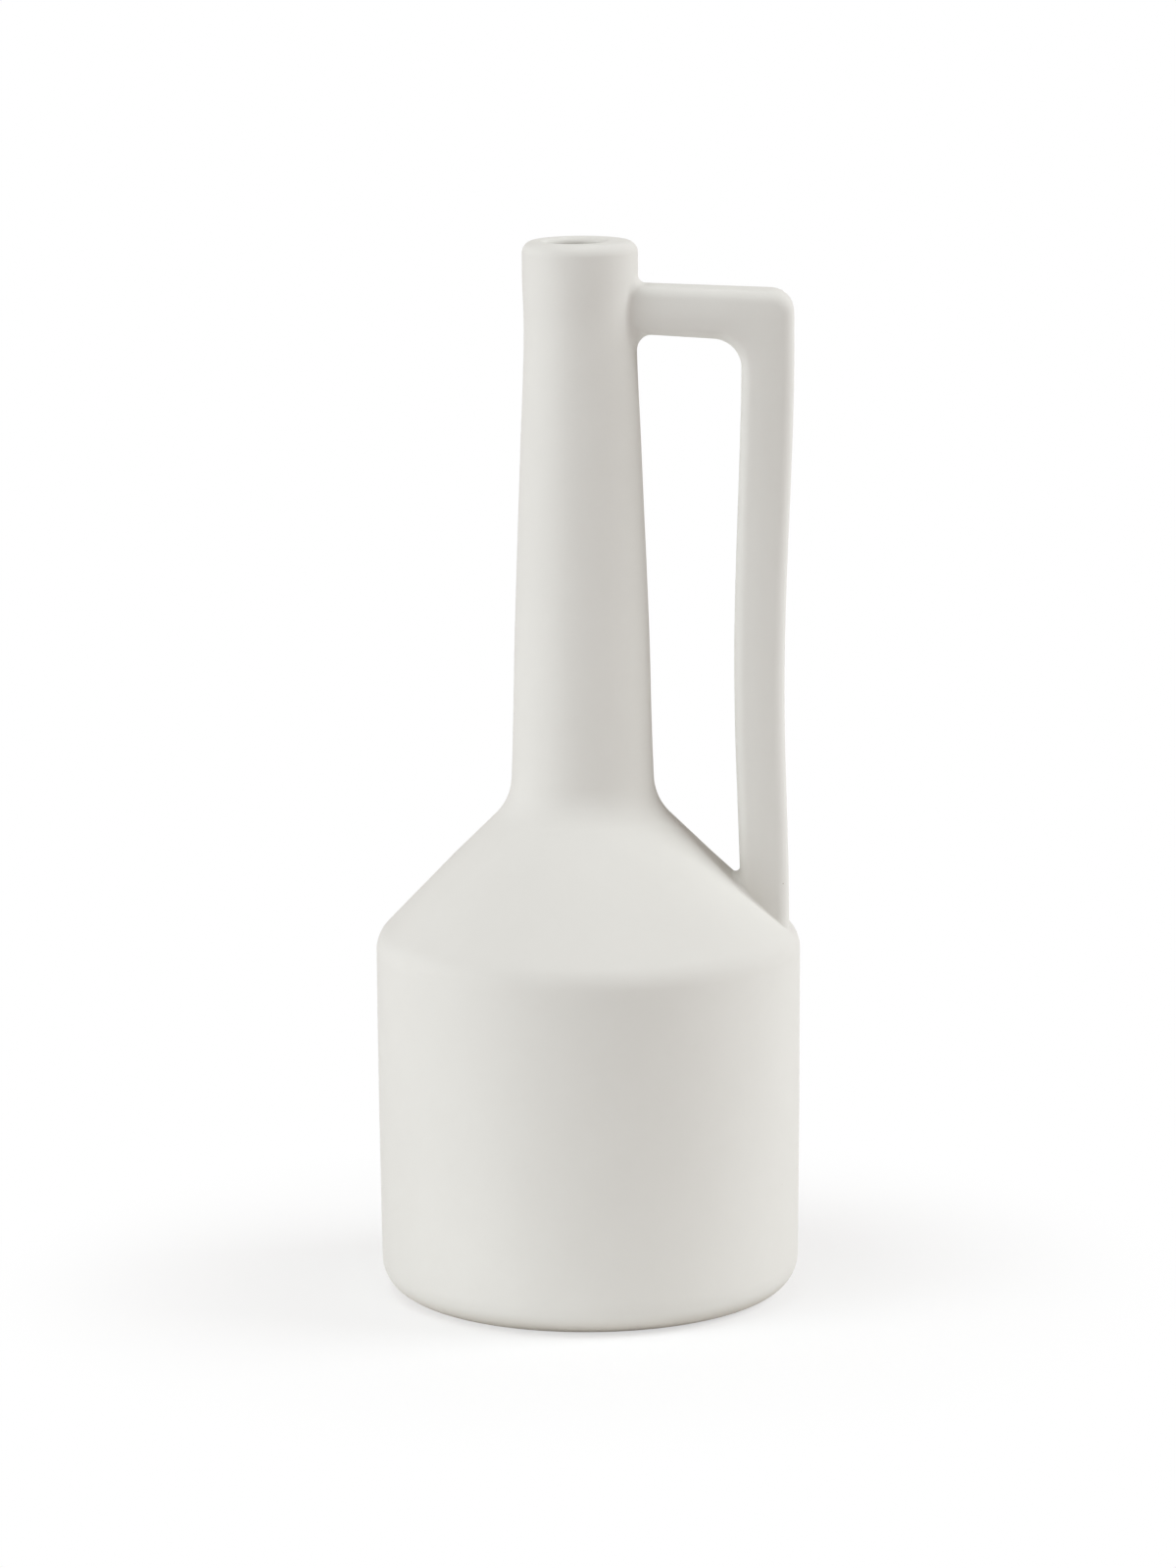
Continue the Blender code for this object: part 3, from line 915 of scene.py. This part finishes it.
def fired_material(name, light, dark, dry, polish, bare=False, **cloud_numbers):
    """A material with clouds and few specks, as (material, tree, shader, place, speck mask)."""
    finish = bpy.context.scene.vase_finish
    material, tree, shader, place = new_material(name)
    clouds = placed(tree, "clay clouds", place, **cloud_numbers).outputs["Mask"]
    specks = placed(tree, "sparse specks", place, share=finish.speck_share).outputs["Mask"]
    tone = mixed(tree, clouds, (*dark, 1), (*light, 1))
    # Towards the foot ring the tone turns darker and warmer: unglazed clay on the ring, painted shade up
    # the rounded edge.
    if bare:
        parts = add(tree, "ShaderNodeSeparateXYZ")
        tree.links.new(place, parts.inputs[0])
        clear_of_foot_shade = ramp(tree, parts.outputs["Z"], 0, finish.bare_height)
        tone = mixed(tree, clear_of_foot_shade, (*finish.raw, 1), tone)
    tree.links.new(mixed(tree, specks, tone, (*finish.speck, 1)), shader.inputs["Base Color"])
    rough = maths(tree, "MULTIPLY_ADD", clouds, -polish)
    rough.node.inputs[2].default_value = dry
    tree.links.new(rough, shader.inputs["Roughness"])
    return material, tree, shader, place, specks


def clay_material(name, bare):
    """Matte clay with a powdery grain. If asked, it turns darker and warmer towards the foot ring: unglazed
    clay on the ring, and painted shade up the rounded edge.
    """
    finish = bpy.context.scene.vase_finish
    material, tree, shader, place, specks = fired_material(
        name, finish.clay, finish.clay_shade, finish.clay_roughness, finish.clay_polish, bare)
    shader.inputs["Specular IOR Level"].default_value = finish.clay_specular
    grain = placed(tree, "powder grain", place)
    tree.links.new(specks, grain.inputs["Pits"])
    bump = add(tree, "ShaderNodeBump", strength=finish.grain, distance=finish.grain_depth)
    tree.links.new(grain.outputs["Height"], bump.inputs["Height"])
    tree.links.new(bump.outputs["Normal"], shader.inputs["Normal"])
    return material


def glaze_material():
    """A thin satin glaze, a little thicker and lighter in soft clouds."""
    finish = bpy.context.scene.vase_finish
    shade = [GLAZE_SHADE * part for part in finish.glaze]
    return fired_material(
        "satin_glaze", finish.glaze, shade, finish.glaze_roughness, finish.glaze_polish,
        cloud_scale=30, mottle=0.2)[0]


def matte_clay():
    """The clay that the wall, the shoulder, the neck and the handle share."""
    return bpy.data.materials.get("powdery_clay") or clay_material("powdery_clay", False)


# Stage

def floor_material():
    """A pale floor that keeps a soft shadow by the vase and is plain white to the camera further out."""
    studio = bpy.context.scene.vase_studio
    radius = bpy.context.scene.vase_body.radius
    material, tree, shader, place = new_material("pale_floor")
    shader.inputs["Base Color"].default_value = (*studio.floor, 1)
    shader.inputs["Roughness"].default_value = FLOOR_ROUGHNESS
    shader.inputs["Specular IOR Level"].default_value = FLOOR_SPECULAR
    path = tree.nodes.new("ShaderNodeLightPath")
    seen = maths(tree, "MAXIMUM", path.outputs["Is Camera Ray"], path.outputs["Is Glossy Ray"])
    white = add(tree, "ShaderNodeEmission", strength=1)
    white.inputs["Color"].default_value = WHITE
    reach = add(tree, "ShaderNodeVectorMath", operation="LENGTH")
    tree.links.new(place, reach.inputs[0])
    near = ramp(tree, reach.outputs["Value"], FLOOR_FADE * radius, radius)
    shade = maths(tree, "MULTIPLY", near, studio.shadow)
    cover = maths(tree, "MULTIPLY", maths(tree, "SUBTRACT", 1, shade), seen)
    blend = tree.nodes.new("ShaderNodeMixShader")
    tree.links.new(cover, blend.inputs[0])
    tree.links.new(shader.outputs[0], blend.inputs[1])
    tree.links.new(white.outputs[0], blend.inputs[2])
    tree.links.new(blend.outputs[0], tree.nodes["Material Output"].inputs["Surface"])
    return material


def build_floor():
    """A round floor under the vase."""
    cage = bmesh.new()
    radius = bpy.context.scene.vase_studio.floor_radius
    bmesh.ops.create_circle(cage, cap_ends=True, radius=radius, segments=FLOOR_SIDES)
    obj = shown("floor", mesh_from("floor", cage, floor_material()))
    obj.location.z = -FLOOR_DROP


def build_world():
    """Even light from all round, and plain white where the camera or a gloss sees past the floor."""
    studio = bpy.context.scene.vase_studio
    world = bpy.data.worlds.new("studio")
    world.use_nodes = True
    tree = world.node_tree
    path = tree.nodes.new("ShaderNodeLightPath")
    seen = maths(tree, "MAXIMUM", path.outputs["Is Camera Ray"], path.outputs["Is Glossy Ray"])
    seen = maths(tree, "MAXIMUM", seen, path.outputs["Is Transmission Ray"])
    light = mixed(tree, seen, (*studio.world, 1), WHITE)
    tree.links.new(light, tree.nodes["Background"].inputs["Color"])
    bpy.context.scene.world = world


def soft_lamp(name, place, energy, tint):
    """A large square lamp that looks at the middle of the vase."""
    lamp = bpy.data.lights.new(name, "AREA")
    lamp.shape = "SQUARE"
    lamp.size = LAMP_SIZE
    lamp.energy = energy
    lamp.color = tint
    obj = shown(name, lamp)
    obj.location = place
    aim = LAMP_AIM - Vector(place)
    obj.rotation_euler = aim.to_track_quat("-Z", "Y").to_euler()


def build_camera():
    """The photograph's view: a long lens, a little above the lip and a little to the handle's side."""
    studio = bpy.context.scene.vase_studio
    data = bpy.data.cameras.new("camera")
    data.lens = studio.lens
    data.clip_start = CLIP_START
    data.clip_end = CLIP_END
    obj = shown("camera", data)
    level = studio.distance * math.cos(studio.rise)
    middle = sizes()[0].height / 2
    obj.location = (
        level * math.sin(studio.turn),
        -level * math.cos(studio.turn),
        middle + studio.distance * math.sin(studio.rise),
    )
    aim = Vector((AIM_ACROSS, 0, middle - AIM_DROP)) - obj.location
    roll = Matrix.Rotation(studio.roll, 3, "Z").to_quaternion()
    obj.rotation_mode = "QUATERNION"
    obj.rotation_quaternion = aim.to_track_quat("-Z", "Y") @ roll
    bpy.context.scene.camera = obj


# Operators

def build_section(name, node, top, bottom):
    """A turned section of wall between two seams."""
    cage = turned(section(skin_line(), hollow_line(), top, bottom), True)
    piece(name, cage, matte_clay(), "matte_clay", node)


class VASE_OT_foot(bpy.types.Operator):
    """Builds the base slab with its rounded edge, foot ring and recess"""

    bl_idname = "vase.foot"
    bl_label = "Foot"

    def execute(self, context):
        body = context.scene.vase_body
        height = seam_heights()[0]
        skin, hollow = skin_line(), hollow_line()
        rim = lap(skin, hollow, height)[0]
        ring_inside = body.radius - body.foot_draw - body.foot_rounding - body.ring_width
        underside = dense(rounded([
            (ring_inside + body.ring_width / 2, 0, 0),
            (ring_inside, 0, body.ring_rounding),
            (ring_inside - body.recess, body.recess, body.ring_rounding),
            (0, body.recess, 0),
        ]))
        floor = dense([Vector((0, body.floor_level)), Vector((rim[1].x, body.floor_level))])
        outline = floor[:-1] + rim[::-1] + split(skin, height)[1] + underside[1:]
        # The foot's clay darkens towards the ring, with painted shade up the rounded edge.
        clay = clay_material("bare_foot_clay", True)
        piece("clay_foot", turned(outline, False), clay, "bare_foot", "foot_disc")
        return {"FINISHED"}


class VASE_OT_wall(bpy.types.Operator):
    """Builds the straight wall of the body"""

    bl_idname = "vase.wall"
    bl_label = "Body wall"

    def execute(self, context):
        foot, shoulder, _ = seam_heights()
        build_section("clay_body_wall", "body_wall", shoulder, foot)
        return {"FINISHED"}


class VASE_OT_shoulder(bpy.types.Operator):
    """Builds the rounded shoulder and its cone"""

    bl_idname = "vase.shoulder"
    bl_label = "Shoulder"

    def execute(self, context):
        _, shoulder, neck = seam_heights()
        build_section("clay_shoulder", "shoulder", neck, shoulder)
        return {"FINISHED"}


class VASE_OT_neck(bpy.types.Operator):
    """Builds the neck with its lip and its narrow mouth"""

    bl_idname = "vase.neck"
    bl_label = "Neck and lip"

    def execute(self, context):
        body, neck, _ = sizes()
        height = seam_heights()[2]
        skin, hollow = skin_line(), hollow_line()
        mouth = dense(rounded([
            (neck.mouth_radius, body.height - 2 * neck.mouth_rounding, 0),
            (neck.mouth_radius, body.height, neck.mouth_rounding),
            (neck.lip_radius - neck.lip_rounding, body.height, 0),
        ]))
        foot = lap(skin, hollow, height)[1]
        outside = split(skin, height)[0]
        inside = split(hollow, height - body.lap + body.slip)[0]
        outline = mouth[1:-1] + outside + foot + inside[::-1]
        piece("clay_neck", turned(outline, True), matte_clay(), "matte_clay", "neck")
        return {"FINISHED"}


class VASE_OT_handle(bpy.types.Operator):
    """Builds the bent bar of the handle, luted on with slip fillets"""

    bl_idname = "vase.handle"
    bl_label = "Handle"

    def execute(self, context):
        piece("clay_handle", handle_cage(), matte_clay(), "matte_clay", "handle_arm", "handle_post")
        return {"FINISHED"}


class VASE_OT_lining(bpy.types.Operator):
    """Builds the thin glaze inside, from just below the lip to the floor"""

    bl_idname = "vase.lining"
    bl_label = "Inner glaze"

    def execute(self, context):
        body, neck, _ = sizes()
        top = body.height - neck.glaze_edge
        corners = hollow_corners()
        outer = split(dense(rounded(inset(corners, body.slip))), top)[1]
        inner = split(dense(rounded(inset(corners, body.slip + neck.glaze))), top - neck.glaze)[1]
        cage = turned(inner[::-1] + outer, False)
        piece("inner_glaze", cage, glaze_material(), "inner_glaze", "glaze_lining")
        return {"FINISHED"}


class VASE_OT_stage(bpy.types.Operator):
    """Sets the floor, the world, the lamps and the camera"""

    bl_idname = "vase.stage"
    bl_label = "Stage"

    def execute(self, context):
        studio = context.scene.vase_studio
        build_floor()
        build_world()
        for key, place, tint in LAMPS:
            soft_lamp(key + "_lamp", place, getattr(studio, key), tint)
        build_camera()
        context.scene.view_settings.view_transform = "Standard"
        return {"FINISHED"}


class VASE_PT_panel(bpy.types.Panel):
    """Lists the vase's pieces and the sizes they are built from"""

    bl_idname = "VASE_PT_panel"
    bl_label = "Bottle vase"
    bl_space_type = "VIEW_3D"
    bl_region_type = "UI"
    bl_category = "Vase"

    def draw(self, context):
        for operator in OPERATORS:
            self.layout.operator(operator.bl_idname)
        for name, group in PROPERTIES:
            box = self.layout.box()
            box.label(text=group.__doc__)
            for key in group.__annotations__:
                box.prop(getattr(context.scene, name), key)


OPERATORS = (
    VASE_OT_foot,
    VASE_OT_wall,
    VASE_OT_shoulder,
    VASE_OT_neck,
    VASE_OT_handle,
    VASE_OT_lining,
    VASE_OT_stage,
)


def register():
    for name, group in PROPERTIES:
        bpy.utils.register_class(group)
        setattr(bpy.types.Scene, name, PointerProperty(type=group))
    for cls in (*OPERATORS, VASE_PT_panel):
        bpy.utils.register_class(cls)


def unregister():
    for cls in (VASE_PT_panel, *reversed(OPERATORS)):
        bpy.utils.unregister_class(cls)
    for name, group in reversed(PROPERTIES):
        delattr(bpy.types.Scene, name)
        bpy.utils.unregister_class(group)


def main():
    register()
    bpy.ops.vase.foot()
    bpy.ops.vase.wall()
    bpy.ops.vase.shoulder()
    bpy.ops.vase.neck()
    bpy.ops.vase.handle()
    bpy.ops.vase.lining()
    bpy.ops.vase.stage()


if __name__ == "__main__":
    main()
